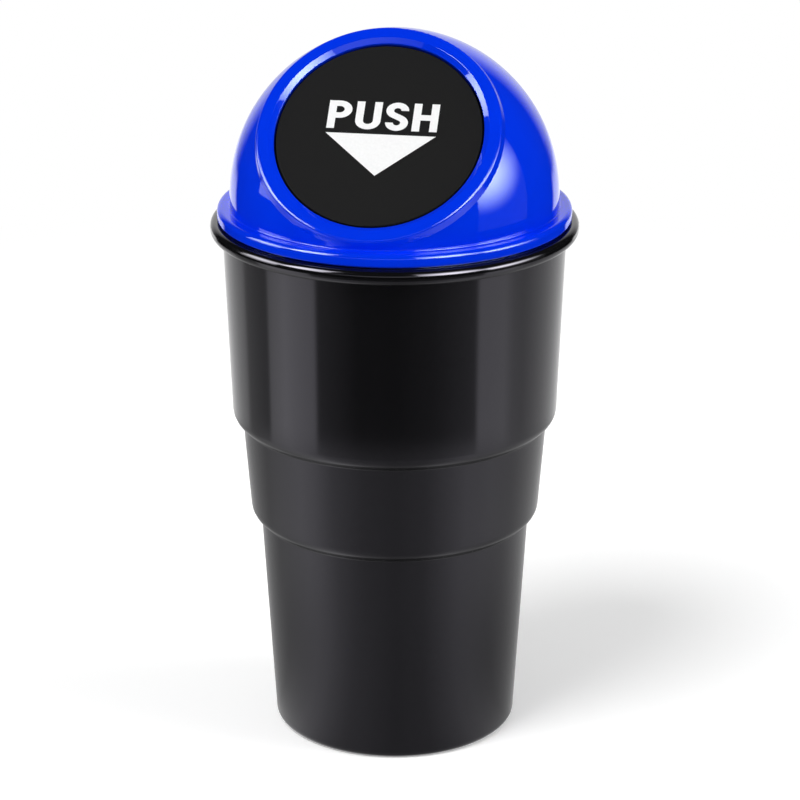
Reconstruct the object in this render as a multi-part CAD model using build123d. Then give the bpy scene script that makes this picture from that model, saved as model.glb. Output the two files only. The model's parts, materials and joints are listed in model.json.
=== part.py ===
from build123d import *
import math
import os

# A small waste bin for a car's cup holder: a stepped cup, a lift-off dome lid and a sprung push flap.
# Lengths are in millimetres. The origin is the middle of the foot, +Z is up and the flap faces -Y.

# Cup: one thin moulded shell in three tapered sections, each stepped out over a sloping ledge
cup_wall = 1.4
base_radius = 30.35
base_edge_round = 2.0
foot_width = 4.5
base_lift = 1.2
floor_fillet = 2.5
lower_height = 54.7
lower_flare = 3.32
lower_ledge = 2.38
mid_height = 25.4
mid_flare = 1.89
mid_ledge = 2.43
upper_height = 50.45
upper_flare = 1.95
ledge_rise = 2.0
ledge_round = 3.4
ledge_fillet = 0.6
ledge_use = 0.9
inner_fillet = 1.0

# Rim: a lip turned outwards and down, with a groove between it and the wall
rim_overhang = 2.98
rim_height = 3.65
rim_groove_width = 0.7
rim_groove_depth = 1.85
rim_top_round = 1.5
rim_under_round = 1.75
rim_under_use = 0.9
small_round = 0.3

# Lid: a dome on a flange that rests on the rim, with a skirt that plugs the cup's mouth
lid_seat_gap = 0.15
lid_wall = 2.0
flange_reveal = 1.75
flange_width = 3.12
flange_height = 3.35
flange_round = 1.2
shadow_gap_width = 1.2
shadow_gap_height = 0.45
dome_foot_fillet = 0.4
skirt_depth = 9.5
skirt_wall = 1.6
skirt_clearance = 0.3

# Mouth: a flat collar that stands a little proud of the dome's front slope, bevelled round a round hole
mouth_tilt = 45.4
mouth_radius = 25.25
bevel_width = 1.3
bevel_depth = 0.95
lip_round = 0.25
flat_width = 2.8
collar_rise = 1.4
collar_depth = 3.0
collar_angle = 25.0
crease_round = 0.9
sill_height = 1.75

# Flap: a round plate in the mouth, with a stop rim that catches behind the lip
flap_clearance = 0.45
flap_recess = 1.2
flap_thickness = 1.7
flap_edge_round = 0.3
stop_gap = 0.2
stop_reach = 1.2
stop_rim_width = 3.0
stop_rim_height = 1.2
stop_rim_drop = 13.0
rib_width = 1.2

# Hinge: a steel pin through two lugs of the flap, held by two ears of the lid
hinge_drop = 3.9
hinge_clearance = 0.3
pin_radius = 1.0
pin_running_clearance = 0.05
pin_grip_clearance = 0.02
pin_overhang = 0.8
knuckle_radius = 2.2
lug_width = 2.4
ear_width = 2.0
hinge_side_gap = 0.4

# Spring: a wire coil on the pin, with one leg behind the lip and one behind the flap
wire_diameter = 0.6
coil_turns = 6
coil_pitch = 0.75
flap_leg_length = 14.0
lip_leg_end_gap = 1.2

# Heights and radii of the cup's sections
lower_top_radius = base_radius + lower_flare
mid_bottom_radius = lower_top_radius + lower_ledge
mid_top_radius = mid_bottom_radius + mid_flare
upper_bottom_radius = mid_top_radius + mid_ledge
upper_top_radius = upper_bottom_radius + upper_flare
upper_bottom = lower_height + mid_height
upper_top = upper_bottom + upper_height
rim_under = upper_top - rim_groove_depth
rim_top = rim_under + rim_height
rim_radius = upper_top_radius + rim_overhang
floor_height = base_lift + cup_wall


def upper_inner_radius(height):
    # Inside of the cup's top section at a height above the foot
    share = (height - upper_bottom - ledge_rise) / (upper_height - ledge_rise)
    return upper_bottom_radius + upper_flare * share - cup_wall


# Heights and radii of the lid
seat_height = rim_top + lid_seat_gap
flange_top = seat_height + flange_height
flange_radius = rim_radius - flange_reveal
dome_radius = flange_radius - flange_width
dome_inner_radius = dome_radius - lid_wall
skirt_bottom = seat_height - skirt_depth
skirt_top_radius = upper_inner_radius(seat_height) - skirt_clearance
skirt_bottom_radius = upper_inner_radius(skirt_bottom) - skirt_clearance

# The dome's centre stands where the collar's lowest edge leaves the sill above the flange
crease_radius = mouth_radius + bevel_width + flat_width
crease_slope = math.asin(crease_radius / dome_radius)
flat_distance = dome_radius * math.cos(crease_slope) + collar_rise
sill_angle = math.radians(mouth_tilt) - crease_slope
dome_centre = flange_top + sill_height - dome_radius * math.sin(sill_angle)

# The mouth's own frame at the dome's centre: x across, y up the slope, z outwards
tilt = math.radians(mouth_tilt)
mouth = Plane(origin=(0, 0, dome_centre), x_dir=(1, 0, 0), z_dir=(0, -math.cos(tilt), math.sin(tilt)))

# Places along the mouth's outward axis and up its slope
flap_radius = mouth_radius - flap_clearance
flap_face = flat_distance - flap_recess
flap_back = flap_face - flap_thickness
lip_back = flap_back + stop_gap
hinge_depth = flap_back - hinge_clearance - knuckle_radius
hinge_rise = flap_radius - hinge_drop
stop_radius = mouth_radius + stop_reach

# Places along the hinge's axis, outwards from the middle
coil_height = coil_turns * coil_pitch
coil_radius = knuckle_radius - wire_diameter / 2
lug_start = (coil_height + wire_diameter) / 2 + hinge_side_gap
ear_start = lug_start + lug_width + hinge_side_gap
pin_length = 2 * (ear_start + ear_width + pin_overhang)


def turned(corners):
    # A solid of revolution about Z. Each corner is a radius, a height and its rounding,
    # and the outline starts and ends on the axis.
    points = [(radius, height) for radius, height, rounding in corners]
    roundings = [rounding for radius, height, rounding in corners[1:-1]]
    outline = FilletPolyline(*points, radius=roundings)
    section = make_face([*outline.edges(), Line(points[-1], points[0])])
    return revolve(Plane.XZ * section, Axis.Z)


def side_plate(outline, start, width):
    # A plate across the hinge's axis, cut to an outline of places up the slope and outwards
    return Plane.YZ.offset(start) * extrude(outline, width)


def both_sides(plate):
    return plate + mirror(plate, Plane.YZ)


def ledge_bend(ledge):
    # Half of the angle that the wall turns through at a ledge, as a slope
    return math.tan(math.atan2(ledge, ledge_rise) / 2)


def ledge_radii(ledge):
    # A ledge's inner fillet and outer round share the length of its slope
    needed = (ledge_fillet + ledge_round) * ledge_bend(ledge)
    share = min(1, ledge_use * math.hypot(ledge, ledge_rise) / needed)
    return ledge_fillet * share, ledge_round * share


def make_cup():
    lower_corner, lower_round = ledge_radii(lower_ledge)
    mid_corner, mid_round = ledge_radii(mid_ledge)
    lower_inside = lower_height + cup_wall * ledge_bend(lower_ledge)
    mid_inside = upper_bottom + cup_wall * ledge_bend(mid_ledge)
    foot_inner_radius = base_radius - base_edge_round - foot_width
    groove_radius = upper_top_radius + rim_groove_width
    under_round = min(rim_under_round, rim_under_use * (rim_radius - groove_radius) - small_round)
    floor_share = floor_height / lower_height
    floor_radius = base_radius + lower_flare * floor_share - cup_wall
    outside = [
        (0, base_lift, 0),
        (foot_inner_radius, base_lift, small_round),
        (foot_inner_radius, 0, small_round),
        (base_radius, 0, base_edge_round),
        (lower_top_radius, lower_height, lower_corner),
        (mid_bottom_radius, lower_height + ledge_rise, lower_round),
        (mid_top_radius, upper_bottom, mid_corner),
        (upper_bottom_radius, upper_bottom + ledge_rise, mid_round),
        (upper_top_radius, upper_top, small_round),
        (groove_radius, upper_top, small_round),
        (groove_radius, rim_under, small_round),
        (rim_radius, rim_under, under_round),
        (rim_radius, rim_top, rim_top_round),
    ]
    inside = [
        (upper_inner_radius(rim_top), rim_top, small_round),
        (upper_inner_radius(mid_inside + ledge_rise), mid_inside + ledge_rise, small_round),
        (mid_top_radius - cup_wall, mid_inside, inner_fillet),
        (mid_bottom_radius - cup_wall, lower_inside + ledge_rise, small_round),
        (lower_top_radius - cup_wall, lower_inside, inner_fillet),
        (floor_radius, floor_height, floor_fillet),
        (0, floor_height, 0),
    ]
    return turned(outside + inside)


def make_dome_shell():
    # The fillet at the dome's foot touches the straight wall, or the dome itself where there is no wall
    foot_top = flange_top + dome_foot_fillet
    foot_lift = max(0, foot_top - dome_centre)
    foot_radius = math.sqrt((dome_radius + dome_foot_fillet) ** 2 - foot_lift**2)
    foot_angle = math.degrees(math.atan2(foot_lift, foot_radius))
    foot_fillet = CenterArc((foot_radius, foot_top), dome_foot_fillet, 180 + foot_angle, 90 - foot_angle)

    shoulder_radius = flange_radius - shadow_gap_width
    shadow_top = seat_height + shadow_gap_height
    flange = FilletPolyline(
        (skirt_bottom_radius - skirt_wall, skirt_bottom),
        (skirt_bottom_radius, skirt_bottom),
        (skirt_top_radius, seat_height),
        (shoulder_radius, seat_height),
        (shoulder_radius, shadow_top),
        (flange_radius, shadow_top),
        (flange_radius, flange_top),
        (foot_radius, flange_top),
        radius=[skirt_wall / 2, small_round, 0, 0, small_round, flange_round],
    )
    outer_arc = CenterArc((0, dome_centre), dome_radius, foot_angle, 90 - foot_angle)
    crown = Line((0, dome_centre + dome_radius), (0, dome_centre + dome_inner_radius))
    inner_arc = CenterArc((0, dome_centre), dome_inner_radius, 0, 90)
    inner_wall = Line((dome_inner_radius, dome_centre), (skirt_bottom_radius - skirt_wall, skirt_bottom))
    outline = [*flange.edges(), foot_fillet, outer_arc, crown, inner_arc, inner_wall]
    if dome_centre > foot_top:
        outline.append(Line((dome_radius, foot_top), (dome_radius, dome_centre)))
    return revolve(Plane.XZ * make_face(outline), Axis.Z)


def ear_outline():
    step = mouth_radius + flap_clearance
    top = hinge_depth + knuckle_radius
    bottom = hinge_depth - knuckle_radius
    web = Polyline(
        (hinge_rise, bottom),
        (dome_radius, bottom),
        (dome_radius, flap_face),
        (step, flap_face),
        (step, top),
        (hinge_rise, top),
        close=True,
    )
    knuckle = Pos(hinge_rise, hinge_depth) * Circle(knuckle_radius)
    hole = Pos(hinge_rise, hinge_depth) * Circle(pin_radius + pin_grip_clearance)
    return make_face(web) + knuckle - hole


def make_lid_dome():
    outward = Axis(mouth.origin, mouth.z_dir)
    shell = split(make_dome_shell(), bisect_by=mouth.offset(flat_distance), keep=Keep.BOTTOM)

    # What joins the dome meets it half-way through its wall
    trim = Pos(0, 0, dome_centre) * Sphere(dome_radius - lid_wall / 2)

    # The collar's wall stands steeper than the dome below it, and widens down into the dome's wall
    collar_slope = crease_slope + math.radians(collar_angle)
    collar_foot = flat_distance - collar_depth
    collar_foot_radius = crease_radius + collar_depth / math.tan(collar_slope)
    collar_outline = [
        (0, flat_distance, 0),
        (crease_radius, flat_distance, crease_round),
        (collar_foot_radius, collar_foot, 0),
        (0, collar_foot, 0),
    ]
    shell += mouth * turned(collar_outline) - trim

    lip_height = flat_distance - lip_back
    lip = mouth * Pos(0, 0, lip_back + lip_height / 2) * Cylinder(dome_radius, lip_height)
    ear = side_plate(ear_outline(), ear_start, ear_width)
    lid = shell + (lip & trim) + ((mouth * both_sides(ear)) & trim)

    hole = Pos(0, 0, lip_back + lip_height / 2) * Cylinder(mouth_radius, 2 * lip_height)
    bevel = Cone(mouth_radius, mouth_radius + bevel_width, bevel_depth)
    bevel = Pos(0, 0, flat_distance - bevel_depth / 2) * bevel
    lid = lid - mouth * hole - mouth * bevel
    bevel_face = lid.faces().filter_by(GeomType.CONE).sort_by(outward)[-1]
    return fillet(bevel_face.edges().filter_by(GeomType.CIRCLE), lip_round)


def lug_outline():
    stem_height = flap_back - hinge_depth
    stem = Pos(hinge_rise, hinge_depth + stem_height / 2) * Rectangle(2 * knuckle_radius, stem_height)
    knuckle = Pos(hinge_rise, hinge_depth) * Circle(knuckle_radius)
    hole = Pos(hinge_rise, hinge_depth) * Circle(pin_radius + pin_running_clearance)
    return stem + knuckle - hole


def make_flap():
    plate = Pos(0, 0, flap_back + flap_thickness / 2) * Cylinder(flap_radius, flap_thickness)
    front_edge = plate.edges().filter_by(GeomType.CIRCLE).sort_by(Axis.Z)[-1]
    plate = fillet(front_edge, flap_edge_round)

    # The stop rim runs round the edge, below the hinge
    rim_middle = flap_back - stop_rim_height / 2
    rim_inner_radius = stop_radius - stop_rim_width
    rim = Cylinder(stop_radius, stop_rim_height) - Cylinder(rim_inner_radius, stop_rim_height)
    rim_end = Plane(origin=(0, hinge_rise - stop_rim_drop, 0), z_dir=(0, 1, 0))
    rim = split(Pos(0, 0, rim_middle) * rim, bisect_by=rim_end, keep=Keep.BOTTOM)

    # Each lug runs on down the back as a rib, as far as the stop rim
    lug_middle = lug_start + lug_width / 2
    rib_length = hinge_rise + stop_radius - stop_rim_width / 2
    rib_middle = Pos(lug_middle, hinge_rise - rib_length / 2, rim_middle)
    rib_bound = Cylinder(stop_radius - stop_rim_width / 2, stop_rim_height)
    rib = rib_middle * Box(rib_width, rib_length, stop_rim_height) & Pos(0, 0, rim_middle) * rib_bound
    lug = side_plate(lug_outline(), lug_start, lug_width)
    return mouth * (plate + rim + both_sides(rib) + both_sides(lug))


def make_hinge_pin():
    return mouth * Pos(0, hinge_rise, hinge_depth) * Rot(0, 90, 0) * Cylinder(pin_radius, pin_length)


def make_torsion_spring():
    # The coil's own frame lies on the pin: x outwards, y down the slope, z along the pin
    coil = Plane(origin=(-coil_height / 2, hinge_rise, hinge_depth), x_dir=(0, 0, 1), z_dir=(1, 0, 0))
    leg_depth = hinge_depth + coil_radius
    lip_leg_length = math.sqrt(dome_inner_radius**2 - leg_depth**2) - hinge_rise - lip_leg_end_gap
    lip_leg = Line((coil_radius, -lip_leg_length, 0), (coil_radius, 0, 0))
    turns = Helix(coil_pitch, coil_height, coil_radius)
    flap_leg = Line((coil_radius, 0, coil_height), (coil_radius, flap_leg_length, coil_height))
    wire_path = Wire([lip_leg.edge(), turns.edge(), flap_leg.edge()])
    wire_end = Plane(origin=wire_path @ 0, z_dir=wire_path % 0) * Circle(wire_diameter / 2)
    return mouth * coil * sweep(wire_end, path=wire_path, is_frenet=True)


nodes = {
    "cup": make_cup(),
    "lid_dome": make_lid_dome(),
    "flap": make_flap(),
    "hinge_pin": make_hinge_pin(),
    "torsion_spring": make_torsion_spring(),
}

os.makedirs("parts", exist_ok=True)
for name, solid in nodes.items():
    export_step(solid, f"parts/{name}.step")
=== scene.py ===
import json
import math

import bmesh
import bpy
from mathutils import Matrix, Vector


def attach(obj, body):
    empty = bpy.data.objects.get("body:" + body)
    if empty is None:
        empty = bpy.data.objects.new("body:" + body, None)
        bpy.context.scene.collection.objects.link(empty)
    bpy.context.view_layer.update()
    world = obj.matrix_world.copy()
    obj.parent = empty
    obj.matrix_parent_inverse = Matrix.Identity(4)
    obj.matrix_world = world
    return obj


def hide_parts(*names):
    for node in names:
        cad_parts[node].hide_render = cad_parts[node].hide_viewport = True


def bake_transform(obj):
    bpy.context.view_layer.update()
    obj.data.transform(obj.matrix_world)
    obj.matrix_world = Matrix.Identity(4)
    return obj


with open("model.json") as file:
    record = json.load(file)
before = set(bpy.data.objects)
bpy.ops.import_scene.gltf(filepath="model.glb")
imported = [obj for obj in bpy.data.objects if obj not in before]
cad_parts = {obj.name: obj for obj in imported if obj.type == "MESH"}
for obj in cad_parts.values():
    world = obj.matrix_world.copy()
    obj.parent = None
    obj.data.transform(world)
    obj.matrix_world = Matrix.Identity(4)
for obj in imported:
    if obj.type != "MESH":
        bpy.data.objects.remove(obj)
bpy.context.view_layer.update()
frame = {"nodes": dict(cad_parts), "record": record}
nodes = frame["nodes"]

mm = 0.001
upright = Vector((0, 0, 1))
across = Vector((1, 0, 0))
mouthTilt = math.radians(45.4)   # how far the mouth and its flap look up
mouthOut = Vector((0, -math.cos(mouthTilt), math.sin(mouthTilt)))
mouthUp = Vector((0, math.sin(mouthTilt), math.cos(mouthTilt)))


# Small helpers

def hexToLinear(code):
    # sRGB hex to the linear values that Blender's sockets take
    values = [int(code[i:i + 2], 16) / 255 for i in (1, 3, 5)]
    linear = [v / 12.92 if v <= 0.04045 else ((v + 0.055) / 1.055) ** 2.4 for v in values]
    return (*linear, 1.0)


def addNode(tree, kind, settings=None, links=None):
    # settings go to sockets or properties by name, links take an output socket of another node
    node = tree.nodes.new(kind)
    for name, value in (settings or {}).items():
        if isinstance(name, int) or name in node.inputs:
            node.inputs[name].default_value = value
        else:
            setattr(node, name, value)
    for name, source in (links or {}).items():
        tree.links.new(source, node.inputs[name])
    return node


def newMaterial(name):
    material = bpy.data.materials.new(name)
    material.use_nodes = True
    material.node_tree.nodes.clear()
    return material, material.node_tree


def newPiece(name, bm, material):
    mesh = bpy.data.meshes.new(name)
    bm.to_mesh(mesh)
    bm.free()
    mesh.materials.append(material)
    piece = bpy.data.objects.new(name, mesh)
    bpy.context.scene.collection.objects.link(piece)
    return piece


def onlyKind(geometry, kind):
    # the corners, edges or faces among what a bmesh operator gives back
    return [g for g in geometry if isinstance(g, kind)]


def onBearing(azimuth, distance, height):
    # a place round the bin: azimuth 0 is the front, where the flap faces, and +90 the right seen from there
    turn = math.radians(azimuth)
    return Vector((math.sin(turn) * distance, -math.cos(turn) * distance, height))


# Materials

mixLow, mixHigh, mixed = 6, 7, 2   # a Mix node's two colours and its result, by place as their names repeat
white = hexToLinear("#FFFFFF")


def blueAbsMoulded():
    # glossy ABS from a polished mould: deep even blue, sharp reflections that waver a little
    look = {"colour": "#0036EA", "deep": "#0030E0", "glint": "#D8ECFF", "ior": 1.5,
            "roughness": 0.045, "haze": 0.01, "hazeMm": 2.2, "hazeDetail": 3.0,
            "waveMm": 14.0, "waveDetail": 2.0, "waveDepthMm": 0.2, "waveStrength": 0.02}
    material, tree = newMaterial("blue ABS, polished mould")
    place = addNode(tree, "ShaderNodeTexCoord").outputs["Object"]
    wave = addNode(tree, "ShaderNodeTexNoise",
                   {"Scale": 1 / (look["waveMm"] * mm), "Detail": look["waveDetail"]}, {"Vector": place})
    haze = addNode(tree, "ShaderNodeTexNoise",
                   {"Scale": 1 / (look["hazeMm"] * mm), "Detail": look["hazeDetail"]}, {"Vector": place})
    colour = addNode(tree, "ShaderNodeMix",
                     {"data_type": "RGBA", mixLow: hexToLinear(look["deep"]),
                      mixHigh: hexToLinear(look["colour"])}, {0: wave.outputs[0]})
    rough = addNode(tree, "ShaderNodeMapRange",
                    {"To Min": look["roughness"] - look["haze"],
                     "To Max": look["roughness"] + look["haze"]}, {"Value": haze.outputs[0]})
    bump = addNode(tree, "ShaderNodeBump",
                   {"Strength": look["waveStrength"], "Distance": look["waveDepthMm"] * mm},
                   {"Height": wave.outputs[0]})
    shader = addNode(tree, "ShaderNodeBsdfPrincipled",
                     {"IOR": look["ior"], "Specular Tint": hexToLinear(look["glint"])},
                     {"Base Color": colour.outputs[mixed], "Roughness": rough.outputs[0],
                      "Normal": bump.outputs[0]})
    addNode(tree, "ShaderNodeOutputMaterial", links={"Surface": shader.outputs[0]})
    return material


def blackPolypropyleneMoulded():
    # black polypropylene, semi-gloss: soft-edged reflections, faint flow marks up the wall
    look = {"colour": "#09090A", "pale": "#0C0C0D", "glint": "#F4F0FF", "ior": 1.5,
            "roughness": 0.11, "uneven": 0.03, "flowMm": 12.0, "flowDetail": 3.0, "flowStretch": 0.15,
            "grainMm": 0.5, "grainDetail": 2.0, "grainDepthMm": 0.02, "grainStrength": 0.03}
    material, tree = newMaterial("black polypropylene, moulded")
    place = addNode(tree, "ShaderNodeTexCoord").outputs["Object"]
    drawn = addNode(tree, "ShaderNodeMapping", {"Scale": (1.0, 1.0, look["flowStretch"])}, {"Vector": place})
    flow = addNode(tree, "ShaderNodeTexNoise",
                   {"Scale": 1 / (look["flowMm"] * mm), "Detail": look["flowDetail"]},
                   {"Vector": drawn.outputs[0]})
    grain = addNode(tree, "ShaderNodeTexNoise",
                    {"Scale": 1 / (look["grainMm"] * mm), "Detail": look["grainDetail"]}, {"Vector": place})
    colour = addNode(tree, "ShaderNodeMix",
                     {"data_type": "RGBA", mixLow: hexToLinear(look["colour"]),
                      mixHigh: hexToLinear(look["pale"])}, {0: flow.outputs[0]})
    rough = addNode(tree, "ShaderNodeMapRange",
                    {"To Min": look["roughness"] - look["uneven"],
                     "To Max": look["roughness"] + look["uneven"]}, {"Value": flow.outputs[0]})
    bump = addNode(tree, "ShaderNodeBump",
                   {"Strength": look["grainStrength"], "Distance": look["grainDepthMm"] * mm},
                   {"Height": grain.outputs[0]})
    shader = addNode(tree, "ShaderNodeBsdfPrincipled",
                     {"IOR": look["ior"], "Specular Tint": hexToLinear(look["glint"])},
                     {"Base Color": colour.outputs[mixed], "Roughness": rough.outputs[0],
                      "Normal": bump.outputs[0]})
    addNode(tree, "ShaderNodeOutputMaterial", links={"Surface": shader.outputs[0]})
    return material


def blackAbsEroded():
    # black ABS from a spark-eroded mould: dry and even, its grit drawn coarser than real so that it shows
    look = {"colour": "#151515", "pale": "#191919", "roughness": 0.6, "ior": 1.53, "specular": 0.03,
            "gritMm": 0.35, "gritDetail": 3.0, "gritDepthMm": 0.03, "gritStrength": 0.25}
    material, tree = newMaterial("black ABS, spark-eroded mould")
    place = addNode(tree, "ShaderNodeTexCoord").outputs["Object"]
    grit = addNode(tree, "ShaderNodeTexNoise",
                   {"Scale": 1 / (look["gritMm"] * mm), "Detail": look["gritDetail"]}, {"Vector": place})
    colour = addNode(tree, "ShaderNodeMix",
                     {"data_type": "RGBA", mixLow: hexToLinear(look["colour"]),
                      mixHigh: hexToLinear(look["pale"])}, {0: grit.outputs[0]})
    bump = addNode(tree, "ShaderNodeBump",
                   {"Strength": look["gritStrength"], "Distance": look["gritDepthMm"] * mm},
                   {"Height": grit.outputs[0]})
    shader = addNode(tree, "ShaderNodeBsdfPrincipled",
                     {"IOR": look["ior"], "Specular IOR Level": look["specular"],
                      "Roughness": look["roughness"]},
                     {"Base Color": colour.outputs[mixed], "Normal": bump.outputs[0]})
    addNode(tree, "ShaderNodeOutputMaterial", links={"Surface": shader.outputs[0]})
    return material


def whiteInkPrinted():
    # white printing ink: a flat opaque film, a little thinner in specks
    look = {"colour": "#F6F6F6", "thin": "#E8E8E8", "roughness": 0.45, "mottleMm": 0.6, "mottleDetail": 3.0}
    material, tree = newMaterial("white ink, pad printed")
    place = addNode(tree, "ShaderNodeTexCoord").outputs["Object"]
    mottle = addNode(tree, "ShaderNodeTexNoise",
                     {"Scale": 1 / (look["mottleMm"] * mm), "Detail": look["mottleDetail"]},
                     {"Vector": place})
    colour = addNode(tree, "ShaderNodeMix",
                     {"data_type": "RGBA", mixLow: hexToLinear(look["thin"]),
                      mixHigh: hexToLinear(look["colour"])}, {0: mottle.outputs[0]})
    shader = addNode(tree, "ShaderNodeBsdfPrincipled", {"Roughness": look["roughness"]},
                     {"Base Color": colour.outputs[mixed]})
    addNode(tree, "ShaderNodeOutputMaterial", links={"Surface": shader.outputs[0]})
    return material


def steelDrawn():
    # bright drawn steel: metal with fine lines along the draw
    look = {"colour": "#B9BABC", "dull": "#98999B", "roughness": 0.28,
            "lineMm": 0.12, "lineDetail": 2.0, "lineStretch": 0.05}
    material, tree = newMaterial("steel, bright drawn")
    place = addNode(tree, "ShaderNodeTexCoord").outputs["Object"]
    along = addNode(tree, "ShaderNodeMapping", {"Scale": (look["lineStretch"], 1.0, 1.0)}, {"Vector": place})
    line = addNode(tree, "ShaderNodeTexNoise",
                   {"Scale": 1 / (look["lineMm"] * mm), "Detail": look["lineDetail"]},
                   {"Vector": along.outputs[0]})
    colour = addNode(tree, "ShaderNodeMix",
                     {"data_type": "RGBA", mixLow: hexToLinear(look["dull"]),
                      mixHigh: hexToLinear(look["colour"])}, {0: line.outputs[0]})
    shader = addNode(tree, "ShaderNodeBsdfPrincipled", {"Metallic": 1.0, "Roughness": look["roughness"]},
                     {"Base Color": colour.outputs[mixed]})
    addNode(tree, "ShaderNodeOutputMaterial", links={"Surface": shader.outputs[0]})
    return material


blueAbs = blueAbsMoulded()
blackPp = blackPolypropyleneMoulded()
blackAbs = blackAbsEroded()
whiteInk = whiteInkPrinted()
steel = steelDrawn()
for nodeName, finish in {"cup": blackPp, "lid_dome": blueAbs, "flap": blackAbs,
                         "hinge_pin": steel, "torsion_spring": steel}.items():
    nodes[nodeName].data.materials[0] = finish
print("materials:", len(bpy.data.materials))


# The moulded pieces

# the solids' own forms with their seams merged and the true normals of turned forms, so that reflections
# run over them unbroken
shellSettings = {
    "merge": 0.001 * mm,
    "sharp": 32.0,          # degrees, an edge that turns more stays sharp
    "tangent": 20.0,        # degrees, a form that meets the dome at less than this runs into it
    "ring": 0.01 * mm,      # places this close in outline belong to one ring
    "askew": 0.06,          # a face that looks further round its axis than this tells nothing of its ring
    "lean": 0.3,            # and its corners that lean further than this don't follow the ring
    "rounds": 2,            # the second mean is taken about the first, so that a ring agrees
    "domeHeight": 138.41 * mm,               # of the dome's middle
    "domeRadii": (40.43 * mm, 38.43 * mm),   # outside and inside
    "mouthStart": 22 * mm,  # the mouth's forms lie further out than this from the dome's middle
    "mouthReach": 31 * mm,  # and closer than this to the mouth's axis
    "pieces": {
        "cup_shell": {"node": "cup", "body": "cup", "slot": "cup_plastic", "finish": blackPp,
                      "dome": False, "mouth": False},
        "lid_shell": {"node": "lid_dome", "body": "lid", "slot": "lid_plastic", "finish": blueAbs,
                      "dome": True, "mouth": True},
        "flap_plate": {"node": "flap", "body": "flap", "slot": "flap_plastic", "finish": blackAbs,
                       "dome": False, "mouth": True},
    },
}


def inOutline(place, middle, axis):
    # radius, height and outward direction of a place about an axis
    height = (place - middle).dot(axis)
    out = place - middle - axis * height
    return out.length, height, out.normalized()


def ringAt(place, middle, axis, width):
    # the ring that a place lies on, and its outward direction
    radius, height, out = inOutline(place, middle, axis)
    return (axis is mouthOut, round(radius / width), round(height / width)), out


def findDome(mesh, middle, settings):
    # the corners on the dome, outside or inside, with the way from its middle to each
    onDome = {}
    for vertex in mesh.vertices:
        distance = (vertex.co - middle).length
        if any(abs(distance - radius) < settings["ring"] for radius in settings["domeRadii"]):
            onDome[vertex.index] = (vertex.co - middle) / distance
    return onDome


def findRings(mesh, shell, middle, onDome, settings):
    # the axis of each face off the dome, the slope of each turned one, and the slopes on each ring by area
    axes, slopes, rings = {}, {}, {}
    for face in mesh.polygons:
        if all(i in onDome for i in face.vertices):
            continue
        radius, height, out = inOutline(face.center, middle, mouthOut)
        inMouth = shell["mouth"] and height > settings["mouthStart"] and radius < settings["mouthReach"]
        axis = mouthOut if inMouth else upright
        axes[face.index] = axis
        radius, height, out = inOutline(face.center, middle, axis)
        if abs(face.normal.dot(axis.cross(out))) > settings["askew"]:
            continue
        slope = Vector((face.normal.dot(out), face.normal.dot(axis))).normalized()
        slopes[face.index] = slope
        degrees = round(math.degrees(math.atan2(slope.y, slope.x)))
        for i in face.vertices:
            key, out = ringAt(mesh.vertices[i].co, middle, axis, settings["ring"])
            shares = rings.setdefault(key, {})
            shares[degrees] = shares.get(degrees, Vector((0, 0))) + slope * face.area
    return axes, slopes, rings


def meanSlope(shares, slope, settings):
    # the mean of a ring's slopes without those past a sharp edge
    near = math.cos(math.radians(settings["sharp"]))
    for again in range(settings["rounds"]):
        close = [share for share in shares.values() if share.normalized().dot(slope) > near]
        slope = sum(close, Vector((0, 0))).normalized()
    return slope


def turnedNormals(mesh, shell, settings):
    middle = Vector((0, 0, settings["domeHeight"]))
    onDome = findDome(mesh, middle, settings) if shell["dome"] else {}
    axes, slopes, rings = findRings(mesh, shell, middle, onDome, settings)
    tangent = math.cos(math.radians(settings["tangent"]))
    normals = [Vector(corner.vector) for corner in mesh.corner_normals]
    for face in mesh.polygons:
        for loop, i in zip(face.loop_indices, face.vertices):
            if i in onDome:
                # the way from the dome's middle, turned round on its inside
                bulge = onDome[i] * math.copysign(1, onDome[i].dot(face.normal))
                if bulge.dot(face.normal) > tangent:
                    normals[loop] = bulge
                    continue
            if face.index not in axes:
                continue
            axis = axes[face.index]
            key, out = ringAt(mesh.vertices[i].co, middle, axis, settings["ring"])
            slope = slopes.get(face.index)
            if slope is None:
                lean = normals[loop]
                if abs(lean.dot(axis.cross(out))) > settings["lean"]:
                    continue
                slope = Vector((lean.dot(out), lean.dot(axis))).normalized()
            mean = meanSlope(rings.get(key, {}), slope, settings)
            if mean.length > 0:
                normals[loop] = out * mean.x + axis * mean.y
    mesh.normals_split_custom_set(normals)
    return len(slopes), len(onDome)


def makeShell(name, shell, settings):
    bm = bmesh.new()
    bm.from_mesh(nodes[shell["node"]].data)
    bmesh.ops.remove_doubles(bm, verts=bm.verts, dist=settings["merge"])
    bmesh.ops.dissolve_degenerate(bm, edges=bm.edges, dist=settings["merge"])
    for face in bm.faces:
        face.smooth = True
    for edge in bm.edges:
        edge.smooth = edge.calc_face_angle(math.pi) < math.radians(settings["sharp"])
    openEdges = sum(not e.is_manifold for e in bm.edges)
    piece = newPiece(name, bm, shell["finish"])
    packed = piece.data.attributes["custom_normal"]   # the solid's own normals, which jump at seams
    piece.data.attributes.remove(packed)
    turned, domed = turnedNormals(piece.data, shell, settings)
    print(name + ":", len(piece.data.polygons), "faces,", turned, "turned,", domed, "corners on the dome,",
          openEdges, "open edges")
    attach(piece, shell["body"])
    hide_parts(shell["node"])


for shellName, shell in shellSettings["pieces"].items():
    makeShell(shellName, shell, shellSettings)


# The printed mark on the flap: a word of block letters over a triangle that points down

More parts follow.
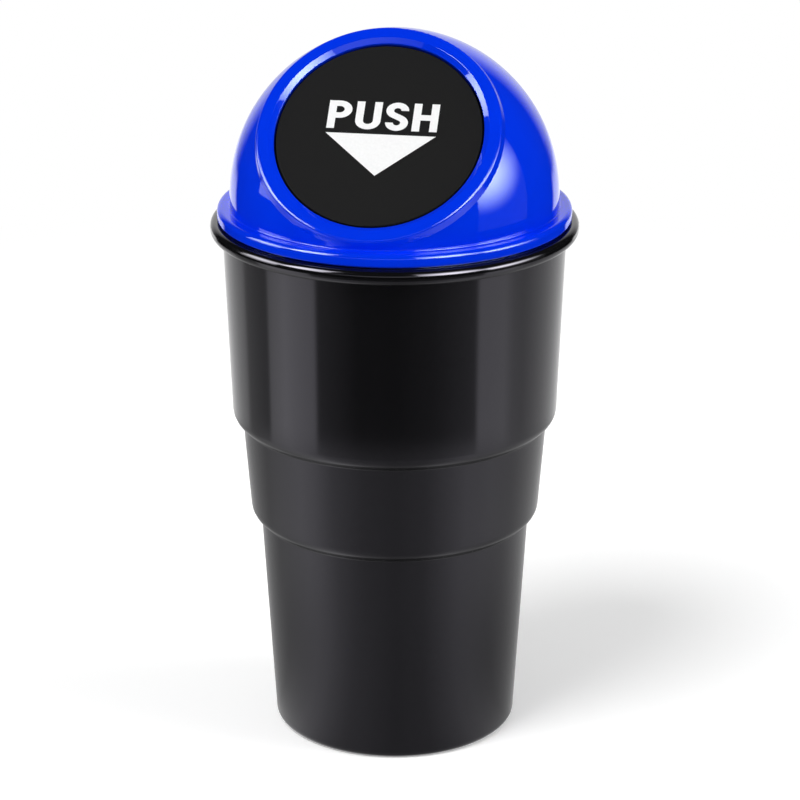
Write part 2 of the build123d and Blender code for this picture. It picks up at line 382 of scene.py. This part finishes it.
markSettings = {
    "turn": 0.5,            # degrees, the print sits a little askew
    "height": 7.6 * mm,     # of a letter
    "stroke": 1.48 * mm,    # of a level stroke
    "widen": 1.263,         # letters are stretched sideways by this, which makes upright strokes wider
    "gap": 1.05 * mm,       # between letters
    "bowlHeight": 4.74 * mm,
    "bowlReach": 0.65 * mm, # level part of the P's bowl
    "cupBend": 1.69 * mm,   # middle of the U's stroke
    "snakeBend": 1.436 * mm,
    "snakeRun": 1.76 * mm,  # of the S between its bends
    "snakeSlope": 30.0,     # degrees, of that run
    "barLength": 1.89 * mm, # of the H between its uprights
    "rise": 5.2 * mm,       # middle of the word above the flap's middle
    "shift": 0.4 * mm,      # of the whole mark to the right
    "triangleTop": 0.16 * mm,
    "triangleDrop": 11.25 * mm,
    "triangleHalf": 13.32 * mm,
    "film": 0.05 * mm,      # thickness of the ink
    "arcSteps": 20,         # in half a turn
    "merge": 0.001 * mm,
    "level": 0.01 * mm,     # what lies this close to the flap's outermost point is its face
}


def walkStroke(bm, start, heading, moves, settings):
    # lays a flat stroke: it starts as an edge across the heading and is extruded or spun along the moves
    half = settings["stroke"] / 2
    place = Vector((*start, 0))
    ahead = Vector((math.cos(math.radians(heading)), math.sin(math.radians(heading)), 0))
    side = Vector((-ahead.y, ahead.x, 0))
    ends = [bm.verts.new(place + side * half), bm.verts.new(place - side * half)]
    front = bm.edges.new(ends)
    for move, amount, radius in moves:
        if move == "run":
            grown = bmesh.ops.extrude_edge_only(bm, edges=[front])["geom"]
            moved = onlyKind(grown, bmesh.types.BMVert)
            bmesh.ops.translate(bm, verts=moved, vec=ahead * amount)
            edges = onlyKind(grown, bmesh.types.BMEdge)
            front = next(e for e in edges if all(v in moved for v in e.verts))
            place += ahead * amount
        else:
            turn = math.radians(amount)
            centre = place + side * math.copysign(radius, turn)
            steps = max(2, round(settings["arcSteps"] * abs(amount) / 180))
            spun = bmesh.ops.spin(bm, geom=[front, *front.verts], cent=centre, axis=upright, angle=turn,
                                  steps=steps, use_duplicate=False)["geom_last"]
            front = onlyKind(spun, bmesh.types.BMEdge)[0]
            rotation = Matrix.Rotation(turn, 3, "Z")
            place = centre + rotation @ (place - centre)
            ahead = rotation @ ahead
            side = rotation @ side


def letterStrokes(letter, settings):
    # a letter's width before it is widened, and its strokes in a box from 0 up to its height
    h, s = settings["height"], settings["stroke"]
    half = s / 2
    if letter == "P":
        bowl = (settings["bowlHeight"] - s) / 2
        reach = settings["bowlReach"]
        return s + reach + bowl + half, [
            ((half, 0), 90, [("run", h, 0)]),
            ((s, h - half), 0, [("run", reach, 0), ("turn", -180, bowl), ("run", reach, 0)]),
        ]
    if letter == "U":
        bend = settings["cupBend"]
        wall = h - bend - half
        return 2 * bend + s, [
            ((half, h), -90, [("run", wall, 0), ("turn", 180, bend), ("run", wall, 0)]),
        ]
    if letter == "S":
        bend, run, slope = settings["snakeBend"], settings["snakeRun"], math.radians(settings["snakeSlope"])
        centreX = bend * math.sin(slope) - run / 2 * math.cos(slope)   # of the upper bend, from the middle
        centreY = bend * math.cos(slope) + run / 2 * math.sin(slope)
        width = 2 * (bend - centreX) + s
        sweep = 270 - settings["snakeSlope"]
        return width, [
            ((width / 2 + centreX + bend, h / 2 + centreY), 90,
             [("turn", sweep, bend), ("run", run, 0), ("turn", -sweep, bend)]),
        ]
    bar = settings["barLength"]
    return 2 * s + bar, [
        ((half, 0), 90, [("run", h, 0)]),
        ((s + bar + half, 0), 90, [("run", h, 0)]),
        ((s, h / 2), 0, [("run", bar, 0)]),
    ]


def drawWord(bm, word, settings):
    # lays the letters side by side from 0 and gives the word's width
    pen = 0.0
    for letter in word:
        width, strokes = letterStrokes(letter, settings)
        letterMesh = bmesh.new()
        for start, heading, moves in strokes:
            walkStroke(letterMesh, start, heading, moves, settings)
        bmesh.ops.scale(letterMesh, verts=letterMesh.verts, vec=(settings["widen"], 1, 1))
        bmesh.ops.translate(letterMesh, verts=letterMesh.verts, vec=(pen, 0, 0))
        held = bpy.data.meshes.new("letter")
        letterMesh.to_mesh(held)
        letterMesh.free()
        bm.from_mesh(held)
        bpy.data.meshes.remove(held)
        pen += width * settings["widen"] + settings["gap"]
    return pen - settings["gap"]


def makeMark(settings):
    bm = bmesh.new()
    wordWidth = drawWord(bm, "PUSH", settings)
    baseLine = settings["rise"] - settings["height"] / 2
    bmesh.ops.translate(bm, verts=bm.verts, vec=(-wordWidth / 2, baseLine, 0))
    corners = [(-settings["triangleHalf"], settings["triangleTop"], 0),
               (0, settings["triangleTop"] - settings["triangleDrop"], 0),
               (settings["triangleHalf"], settings["triangleTop"], 0)]
    bm.faces.new([bm.verts.new(c) for c in corners])
    bmesh.ops.remove_doubles(bm, verts=bm.verts, dist=settings["merge"])
    bmesh.ops.recalc_face_normals(bm, faces=bm.faces)
    for face in bm.faces:
        if face.normal.z < 0:
            face.normal_flip()
    grown = bmesh.ops.extrude_face_region(bm, geom=list(bm.faces), use_keep_orig=True)["geom"]
    bmesh.ops.translate(bm, verts=onlyKind(grown, bmesh.types.BMVert), vec=(0, 0, settings["film"]))
    bmesh.ops.recalc_face_normals(bm, faces=bm.faces)
    bmesh.ops.translate(bm, verts=bm.verts, vec=(settings["shift"], 0, 0))
    bmesh.ops.rotate(bm, verts=bm.verts, matrix=Matrix.Rotation(math.radians(settings["turn"]), 3, "Z"))
    print("mark: word", round(wordWidth / mm, 2), "mm wide")

    # the flap's face: its outermost point along the way it looks gives the plane
    flapCorners = [v.co for v in nodes["flap"].data.vertices]
    faceHeight = max(c.dot(mouthOut) for c in flapCorners)
    rises = [c.dot(mouthUp) for c in flapCorners if c.dot(mouthOut) > faceHeight - settings["level"]]
    middle = mouthOut * faceHeight + mouthUp * ((min(rises) + max(rises)) / 2)
    bm.transform(Matrix.Translation(middle) @ Matrix((across, mouthUp, mouthOut)).transposed().to_4x4())
    piece = newPiece("push_mark", bm, whiteInk)
    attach(piece, "flap")


makeMark(markSettings)


# The torsion spring: a leg on the lid, a coil round the pin and a leg on the flap

springSettings = {
    "wire": 0.6 * mm,
    "wireSides": 12,
    "coilRadius": 1.9 * mm,   # middle of the wire
    "turns": 6,
    "pitch": 0.75 * mm,
    "turnSteps": 32,
    "lidLeg": 6.4 * mm,
    "flapLeg": 14.0 * mm,
    "held": 0.35 * mm,
}


def drawWire(bm, end, way, keep):
    # draws the wire's end face out into a straight leg and gives its new end
    grown = bmesh.ops.extrude_face_region(bm, geom=[end], use_keep_orig=keep)["geom"]
    bmesh.ops.translate(bm, verts=onlyKind(grown, bmesh.types.BMVert), vec=way)
    return onlyKind(grown, bmesh.types.BMFace)[0]


def makeSpring(settings):
    joint = next(j for j in frame["record"]["behaviour"]["joints"] if j["name"] == "flap_hinge")
    hinge = Vector(joint["pos_m"])
    half = across * settings["turns"] * settings["pitch"] / 2
    bm = bmesh.new()
    bmesh.ops.create_circle(bm, cap_ends=True, radius=settings["wire"] / 2, segments=settings["wireSides"])
    top = hinge - half + mouthOut * settings["coilRadius"] + mouthUp * settings["lidLeg"]
    bm.transform(Matrix.Translation(top) @ Matrix((across, mouthOut, mouthUp)).transposed().to_4x4())
    bm.faces.ensure_lookup_table()
    end = drawWire(bm, bm.faces[0], -mouthUp * settings["lidLeg"], True)
    steps = settings["turns"] * settings["turnSteps"]
    spun = bmesh.ops.spin(bm, geom=[end, *end.edges, *end.verts], cent=hinge, axis=across,
                          dvec=half * 2 / steps, angle=settings["turns"] * 2 * math.pi,
                          steps=steps)["geom_last"]
    end = onlyKind(spun, bmesh.types.BMFace)[0]
    drawWire(bm, end, -mouthUp * settings["flapLeg"], False)
    bmesh.ops.recalc_face_normals(bm, faces=bm.faces)
    for face in bm.faces:
        face.smooth = len(face.verts) == 4   # the two cut ends stay flat
    print("spring:", len(bm.faces), "faces")
    piece = newPiece("spring_wire", bm, steel)
    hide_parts("torsion_spring")
    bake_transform(piece)


makeSpring(springSettings)


# Camera, at the photograph's place

cameraSettings = {
    "azimuth": 11.0,
    "distance": 776.5 * mm,   # from the bin's axis, level
    "height": 365.3 * mm,
    "pitch": 19.88,           # degrees, how far it looks down
    "yaw": 0.0973,            # degrees, how far it looks past the axis
    "lens": 148.39,
    "sensor": 36.0,
    "clipStart": 10 * mm,
}


def makeCamera(settings):
    data = bpy.data.cameras.new("camera")
    data.sensor_width = settings["sensor"]
    data.lens = settings["lens"]
    data.clip_start = settings["clipStart"]
    camera = bpy.data.objects.new("camera", data)
    camera.location = onBearing(settings["azimuth"], settings["distance"], settings["height"])
    camera.rotation_euler = (math.radians(90 - settings["pitch"]), 0,
                             math.radians(settings["azimuth"] - settings["yaw"]))
    bpy.context.scene.collection.objects.link(camera)
    bpy.context.scene.camera = camera
    print("camera:", settings["lens"], "mm lens,", round(camera.location.length, 3), "m from the foot")


makeCamera(cameraSettings)


# Studio

# a white floor, soft lamps from the upper left and the right, and lit diffusers for the gloss to show,
# in metres and degrees; bearings count from the camera's side, where 0 is in front and +90 to its right
studioSettings = {
    "floorSize": 8.0,
    "floorDrop": 0.05 * mm,    # below the bin's foot, so that the two faces don't fight
    "floorColour": "#FAFAFA",
    "floorGlow": 0.24,         # added to the lit floor where the camera sees it, which makes it white
    "shadowReach": (0.18, 0.45),   # between these the lit floor fades to plain white
    "ambient": 0.37,           # of the even room that lights the surfaces
    "ceiling": 0.02,           # of the dark room that gloss shows overhead
    "backdrop": (0.78, 0.93),  # cosines of the bearings from which the white behind fades in
    "diffuserDistance": 0.55,
    "diffuserSteps": 24,
    "lampDistance": 1.0,
    "lamps": {
        "key": {"bearing": -47.0, "elevation": 55.0, "strength": 1.75, "spread": 30.0},
        "fill": {"bearing": 80.0, "elevation": 25.0, "strength": 1.3, "spread": 40.0},
    },
}

# a painted sheen that gloss sees on the floor, brighter in strips where the diffusers would light it, in
# zones
# from the bin outwards: the stretch over which a zone takes over from the one before it, in metres, and how
# bright it is by bearing
paintedSheenSettings = {
    "foot": {"levels": {-180: 0.42, -94: 0.5, -62: 1.0, -52: 0.98, -30: 0.55, 0: 0.32, 20: 0.38, 46: 0.75,
                        58: 0.73, 78: 0.49, 180: 0.42}},
    "near": {"start": (0.06, 0.15),
             "levels": {-180: 0.55, -108: 0.5, -71: 1.34, -60: 1.27, -44: 0.76, -22: 0.45, 0: 0.36, 22: 0.47,
                        52: 1.04, 72: 1.0, 95: 0.7, 180: 0.6}},
    "far": {"start": (0.19, 0.235),
            "levels": {-180: 0.95, -142: 0.92, -119: 0.78, -115: 0.42, -92: 0.36, -90: 1.1, -76: 1.78,
                       -53: 1.46, -51: 0.32, -24: 0.07, 0: 0.05, 24: 0.13, 54: 0.36, 56: 1.42, 76: 1.3,
                       84: 0.85, 93: 0.66, 142: 0.92, 180: 0.95}},
    "outer": {"start": (0.40, 0.46),
              "levels": {-180: 1.4, -142: 1.4, -138: 0.01, 138: 0.01, 142: 1.4, 180: 1.4}},
    "horizon": {"start": (0.65, 1.1),
                "levels": {-180: 0.95, -157: 0.9, -148: 0.44, -144: 0.125, -140: 0.01, 140: 0.01, 144: 0.125,
                           148: 0.44, 157: 0.9, 180: 0.95}},
}

# each stands between two bearings and two heights; spot is the bearing and height of its brightest place,
# from which the light falls from peak to edge over its reach
diffuserSettings = {
    "right": {"from": 57.0, "to": 100.0, "low": 0.002, "high": 0.56,
              "spot": (66.0, 0.305), "reach": 0.36, "squeeze": 1.6, "peak": 22.0, "edge": 0.2},
    "rightWing": {"from": 14.0, "to": 57.0, "low": 0.265, "high": 0.9,
                  "spot": (36.0, 0.42), "reach": 0.30, "squeeze": 0.7, "peak": 25.0, "edge": 2.0},
    "left": {"from": -104.0, "to": -74.0, "low": 0.1, "high": 0.56,
             "spot": (-86.0, 0.34), "reach": 0.30, "squeeze": 1.3, "peak": 15.0, "edge": 2.4},
    "leftWing": {"from": -74.0, "to": -43.0, "low": 0.33, "high": 1.0,
                 "spot": (-66.0, 0.5), "reach": 0.42, "squeeze": 0.7, "peak": 22.0, "edge": 2.0},
    "front": {"from": -40.0, "to": 14.0, "low": 0.19, "high": 0.32,
              "spot": (4.0, 0.27), "reach": 0.5, "squeeze": 1.0, "peak": 1.2, "edge": 0.5},
}


def onSide(bearing, distance, height):
    return onBearing(bearing + cameraSettings["azimuth"], distance, height)


def makeWorld(settings):
    # an even room for the surfaces, dark overhead and white behind for the gloss, white for the camera
    world = bpy.data.worlds.new("studio")
    world.use_nodes = True
    tree = world.node_tree
    tree.nodes.clear()
    rays = addNode(tree, "ShaderNodeLightPath").outputs
    direction = addNode(tree, "ShaderNodeTexCoord").outputs["Generated"]
    behind = addNode(tree, "ShaderNodeVectorMath", {"operation": "DOT_PRODUCT", 1: onSide(180.0, 1.0, 0.0)},
                     {0: direction})
    fade = settings["backdrop"]
    backdrop = addNode(tree, "ShaderNodeMapRange", {"From Min": fade[0], "From Max": fade[1]},
                       {"Value": behind.outputs["Value"]})
    inGloss = addNode(tree, "ShaderNodeMath", {"operation": "MULTIPLY"},
                      {0: backdrop.outputs[0], 1: rays["Is Glossy Ray"]})
    seen = addNode(tree, "ShaderNodeMath", {"operation": "MAXIMUM"},
                   {0: rays["Is Camera Ray"], 1: inGloss.outputs[0]})
    seenThrough = addNode(tree, "ShaderNodeMath", {"operation": "MAXIMUM"},
                          {0: seen.outputs[0], 1: rays["Is Transmission Ray"]})
    level = addNode(tree, "ShaderNodeMapRange",
                    {"To Min": settings["ambient"], "To Max": settings["ceiling"]},
                    {"Value": rays["Is Glossy Ray"]})
    room = addNode(tree, "ShaderNodeBackground", {"Color": white}, {"Strength": level.outputs[0]})
    bright = addNode(tree, "ShaderNodeBackground", {"Color": white, "Strength": 1.0})
    mix = addNode(tree, "ShaderNodeMixShader",
                  links={0: seenThrough.outputs[0], 1: room.outputs[0], 2: bright.outputs[0]})
    addNode(tree, "ShaderNodeOutputWorld", links={"Surface": mix.outputs[0]})
    bpy.context.scene.world = world


def paperShown(tree, rays, distance, settings):
    # what the camera sees of the floor: lit paper with the bin's shadow that turns plain white further out
    near, far = settings["shadowReach"]
    plain = addNode(tree, "ShaderNodeMapRange",
                    {"interpolation_type": "SMOOTHSTEP", "From Min": near, "From Max": far},
                    {"Value": distance})
    seen = addNode(tree, "ShaderNodeMath", {"operation": "MAXIMUM"},
                   {0: rays["Is Camera Ray"], 1: rays["Is Transmission Ray"]})
    share = addNode(tree, "ShaderNodeMath", {"operation": "MULTIPLY"},
                    {0: seen.outputs[0], 1: plain.outputs[0]})
    lift = addNode(tree, "ShaderNodeMath", {"operation": "MULTIPLY", 1: settings["floorGlow"]},
                   {0: seen.outputs[0]})
    paper = addNode(tree, "ShaderNodeBsdfDiffuse", {"Color": hexToLinear(settings["floorColour"])})
    glow = addNode(tree, "ShaderNodeEmission", {"Color": white}, {"Strength": lift.outputs[0]})
    lit = addNode(tree, "ShaderNodeAddShader", links={0: paper.outputs[0], 1: glow.outputs[0]})
    bright = addNode(tree, "ShaderNodeEmission", {"Color": white, "Strength": 1.0})
    shown = addNode(tree, "ShaderNodeMixShader",
                    links={0: share.outputs[0], 1: lit.outputs[0], 2: bright.outputs[0]})
    return shown.outputs[0]


def paintedFloorSheen(tree, place, distance, sheen):
    # the painted sheen that gloss sees on the floor, a glow with no lamp behind it: zones from the bin
    # outwards, each with its own levels round the circle
    turn = math.radians(90 - cameraSettings["azimuth"])
    turned = addNode(tree, "ShaderNodeMapping", {"Rotation": (0, 0, turn)}, {"Vector": place})
    around = addNode(tree, "ShaderNodeTexGradient", {"gradient_type": "RADIAL"},
                     {"Vector": turned.outputs[0]})
    top = max(level for zone in sheen.values() for level in zone["levels"].values())
    shown = None
    for zone in sheen.values():
        ramp = addNode(tree, "ShaderNodeValToRGB", links={0: around.outputs["Fac"]})
        stops = ramp.color_ramp.elements
        stops.remove(stops[1])
        for bearing, level in zone["levels"].items():
            position = (bearing + 180) / 360
            stop = stops[0] if position == 0 else stops.new(position)
            stop.color = (level / top, level / top, level / top, 1)
        if shown is None:
            shown = ramp.outputs[0]
            continue
        start, end = zone["start"]
        past = addNode(tree, "ShaderNodeMapRange",
                       {"interpolation_type": "SMOOTHSTEP", "From Min": start, "From Max": end},
                       {"Value": distance})
        blend = addNode(tree, "ShaderNodeMix", {"data_type": "RGBA"},
                        {0: past.outputs[0], mixLow: shown, mixHigh: ramp.outputs[0]})
        shown = blend.outputs[mixed]
    return addNode(tree, "ShaderNodeEmission", {"Strength": top}, {"Color": shown}).outputs[0]


def makeFloor(settings, sheen):
    # matt white paper: plain white with the bin's shadow for the camera, and a painted sheen that glows for
    # the gloss
    material, tree = newMaterial("white paper, matt, with painted sheen")
    rays = addNode(tree, "ShaderNodeLightPath").outputs
    place = addNode(tree, "ShaderNodeTexCoord").outputs["Object"]
    distance = addNode(tree, "ShaderNodeVectorMath", {"operation": "LENGTH"}, {0: place}).outputs["Value"]
    shown = paperShown(tree, rays, distance, settings)
    # painted sheen: a glow that only gloss sees, brighter where the diffusers would light the floor
    gloss = paintedFloorSheen(tree, place, distance, sheen)
    mix = addNode(tree, "ShaderNodeMixShader", links={0: rays["Is Glossy Ray"], 1: shown, 2: gloss})
    addNode(tree, "ShaderNodeOutputMaterial", links={"Surface": mix.outputs[0]})
    bm = bmesh.new()
    bmesh.ops.create_grid(bm, x_segments=1, y_segments=1, size=settings["floorSize"] / 2)
    bmesh.ops.translate(bm, verts=bm.verts, vec=(0, 0, -settings["floorDrop"]))
    floor = newPiece("floor", bm, material)


def makeDiffuser(name, panel, settings):
    # a curved lit screen with a brighter spot where its lamp is
    material, tree = newMaterial("diffuser cloth " + name)
    place = addNode(tree, "ShaderNodeTexCoord").outputs["Object"]
    distance = settings["diffuserDistance"]
    squeeze = Vector((1, 1, panel["squeeze"]))   # over 1 the spot is wider than it is tall
    bearing, height = panel["spot"]
    spot = onSide(bearing, distance, height)
    centred = addNode(tree, "ShaderNodeMapping", {"Location": -spot * squeeze, "Scale": squeeze},
                      {"Vector": place})
    away = addNode(tree, "ShaderNodeVectorMath", {"operation": "LENGTH"}, {0: centred.outputs[0]})
    level = addNode(tree, "ShaderNodeMapRange",
                    {"interpolation_type": "SMOOTHSTEP", "From Max": panel["reach"],
                     "To Min": panel["peak"], "To Max": panel["edge"]}, {"Value": away.outputs["Value"]})
    glow = addNode(tree, "ShaderNodeEmission", {"Color": white}, {"Strength": level.outputs[0]})
    addNode(tree, "ShaderNodeOutputMaterial", links={"Surface": glow.outputs[0]})
    bm = bmesh.new()
    ends = [bm.verts.new(onSide(panel["from"], distance, z)) for z in (panel["low"], panel["high"])]
    bmesh.ops.spin(bm, geom=[bm.edges.new(ends), *ends], cent=(0, 0, 0), axis=upright,
                   angle=math.radians(panel["to"] - panel["from"]), steps=settings["diffuserSteps"])
    piece = newPiece("diffuser_" + name, bm, material)
    piece.visible_camera = False
    piece.visible_diffuse = False
    piece.visible_shadow = False
    piece.visible_transmission = False


def makeLamp(name, lamp, settings):
    # a broad soft lamp for the surfaces, which gloss doesn't see
    data = bpy.data.lights.new(name, "SUN")
    data.energy = lamp["strength"]
    data.angle = math.radians(lamp["spread"])
    sun = bpy.data.objects.new(name, data)
    sun.rotation_euler = (math.radians(90 - lamp["elevation"]), 0,
                          math.radians(lamp["bearing"] + cameraSettings["azimuth"]))
    sun.location = onSide(lamp["bearing"], settings["lampDistance"], settings["lampDistance"])
    sun.visible_glossy = False
    bpy.context.scene.collection.objects.link(sun)


makeWorld(studioSettings)
makeFloor(studioSettings, paintedSheenSettings)
for lampName, lamp in studioSettings["lamps"].items():
    makeLamp(lampName, lamp, studioSettings)
for panelName, panel in diffuserSettings.items():
    makeDiffuser(panelName, panel, studioSettings)
print("studio:", len(studioSettings["lamps"]), "lamps,", len(diffuserSettings), "diffusers")

bpy.context.scene.view_settings.view_transform = "Standard"
